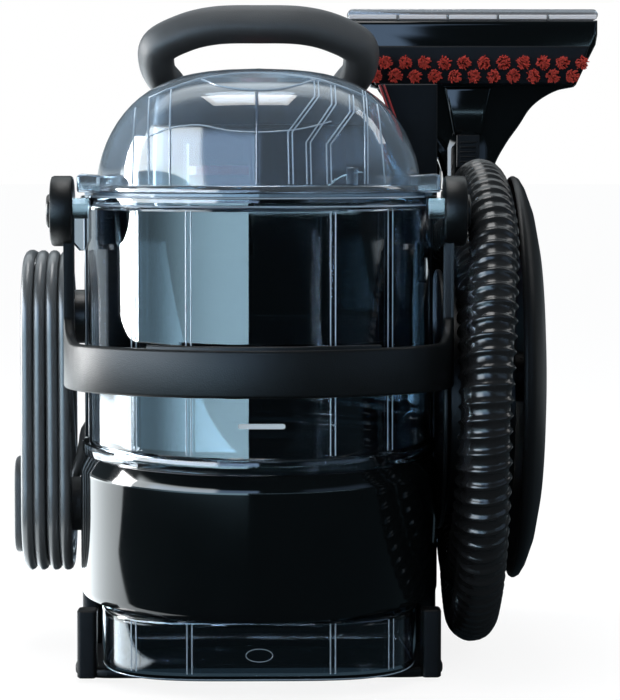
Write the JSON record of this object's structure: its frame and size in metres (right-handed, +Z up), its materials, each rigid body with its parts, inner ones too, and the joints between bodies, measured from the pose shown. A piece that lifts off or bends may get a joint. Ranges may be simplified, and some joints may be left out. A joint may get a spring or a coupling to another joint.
{
  "type": "portable carpet cleaner",
  "caption": "Portable carpet spot cleaner with clear front tank and bail handle, rear clean tank, side hose caddy with wand and wide spotting tool, and a mains cord wound on a side rack.",
  "frame": {"origin": "bottom centre of the machine, on the floor under its feet, measured without the hose and mains cord", "axes": "+Z up, -Y to the front where the dirty tank stands, +X to the hose caddy side"},
  "size_m": [0.3504, 0.348, 0.374],
  "materials": {
    "gloss_black": "gloss black moulding",
    "satin_black": "satin black moulding",
    "hose_black": "glossy corrugated black hose",
    "plug_black": "matt moulded rubber",
    "matt_grey": "fine-grained dark grey moulding",
    "clear_blue": "clear blue-tinted moulding",
    "red_plastic": "red moulding",
    "black_rubber": "soft black rubber",
    "steel": "bare steel",
    "aluminium": "cast aluminium",
    "white_plastic": "natural white moulding",
    "cord_grey": "smooth grey-black cord sheath"
  },
  "bodies": {
    "base": {"base_chassis": "satin_black", "foot_front_left": "black_rubber", "foot_front_right": "black_rubber", "foot_rear_left": "black_rubber", "foot_rear_right": "black_rubber", "tower_front_shell": "satin_black", "tower_rear_shell": "satin_black", "exhaust_grille": "satin_black", "tower_cap": "satin_black", "power_switch": "white_plastic", "carry_handle": "matt_grey", "motor_housing": "satin_black", "motor_bearing_lower": "steel", "motor_bearing_upper": "steel", "fan_housing": "matt_grey", "air_duct": "matt_grey", "suction_duct": "matt_grey", "water_pump": "matt_grey", "heater_block": "aluminium", "flex_hose": "hose_black", "hose_caddy_drum": "satin_black", "hose_caddy_plate": "satin_black", "caddy_screw": "steel", "hose_port": "satin_black", "wand_cuff": "black_rubber", "wand_body": "satin_black", "spray_nozzle": "white_plastic", "wand_cradle": "satin_black", "red_trim": "red_plastic", "cord_hook_upper": "satin_black", "cord_hook_lower": "satin_black", "cord_hank": "cord_grey", "cord_gland": "plug_black", "power_cord_lead": "cord_grey", "power_cord_tail": "cord_grey", "mains_plug": "plug_black"},
    "rotor": {"motor_rotor": "steel", "suction_impeller": "white_plastic"},
    "button": {"power_button": "red_plastic"},
    "dirty_tank": {"dirty_tank": "clear_blue", "tank_band": "gloss_black", "bail_pin_left": "satin_black", "bail_pin_right": "satin_black"},
    "lid": {"tank_lid": "clear_blue", "lid_gasket": "black_rubber", "float_cage": "satin_black", "red_filter": "red_plastic"},
    "float": {"float_ball": "white_plastic"},
    "bail": {"bail_handle": "matt_grey"},
    "clean_tank": {"clean_tank": "clear_blue", "valve_cage": "white_plastic", "valve_spring": "steel"},
    "filler_cap": {"clean_tank_cap": "satin_black"},
    "valve": {"valve_plunger": "white_plastic"},
    "trigger": {"spray_trigger": "red_plastic"},
    "tool": {"tool_body": "gloss_black", "tool_window": "clear_blue", "tool_bristles": "red_plastic"},
    "latch": {"tool_latch": "satin_black"}
  },
  "joints": [
    {"name": "rotor_spin", "type": "hinge", "parent": "base", "child": "rotor", "pos_m": [-0.03475, 0.0415, 0.14], "axis": [0, 0, 1], "continuous": true},
    {"name": "button_press", "type": "slide", "parent": "base", "child": "button", "axis": [0, 0, -1], "range_m": [0, 0.0025], "stiffness_N_per_m": 800},
    {"name": "dirty_tank_lift", "type": "slide", "parent": "base", "child": "dirty_tank", "axis": [0, 0, 1], "range_m": [0, 0.12]},
    {"name": "lid_lift", "type": "slide", "parent": "dirty_tank", "child": "lid", "axis": [0, 0, 1], "range_m": [0, 0.025]},
    {"name": "float_rise", "type": "slide", "parent": "lid", "child": "float", "axis": [0, 0, 1], "range_m": [0, 0.021]},
    {"name": "bail_pivot", "type": "hinge", "parent": "dirty_tank", "child": "bail", "pos_m": [-0.03475, -0.088, 0.253], "axis": [-1, 0, 0], "range_deg": [0, 125]},
    {"name": "clean_tank_lift", "type": "slide", "parent": "base", "child": "clean_tank", "axis": [0, 0, 1], "range_m": [0, 0.06]},
    {"name": "filler_cap_lift", "type": "slide", "parent": "clean_tank", "child": "filler_cap", "axis": [0, 0, 1], "range_m": [0, 0.02]},
    {"name": "valve_lift", "type": "slide", "parent": "clean_tank", "child": "valve", "axis": [0, 0, 1], "range_m": [0, 0.004], "stiffness_N_per_m": 300, "deforming": ["valve_spring"]},
    {"name": "trigger_squeeze", "type": "hinge", "parent": "base", "child": "trigger", "pos_m": [0.09425, 0.141, 0.232], "axis": [1, 0, 0], "range_deg": [0, 6], "stiffness_Nm_per_rad": 2},
    {"name": "tool_pull", "type": "slide", "parent": "base", "child": "tool", "axis": [0, 0, 1], "range_m": [0, 0.04]},
    {"name": "latch_press", "type": "slide", "parent": "tool", "child": "latch", "axis": [0, 1, 0], "range_m": [0, 0.0012], "stiffness_N_per_m": 1500}
  ]
}
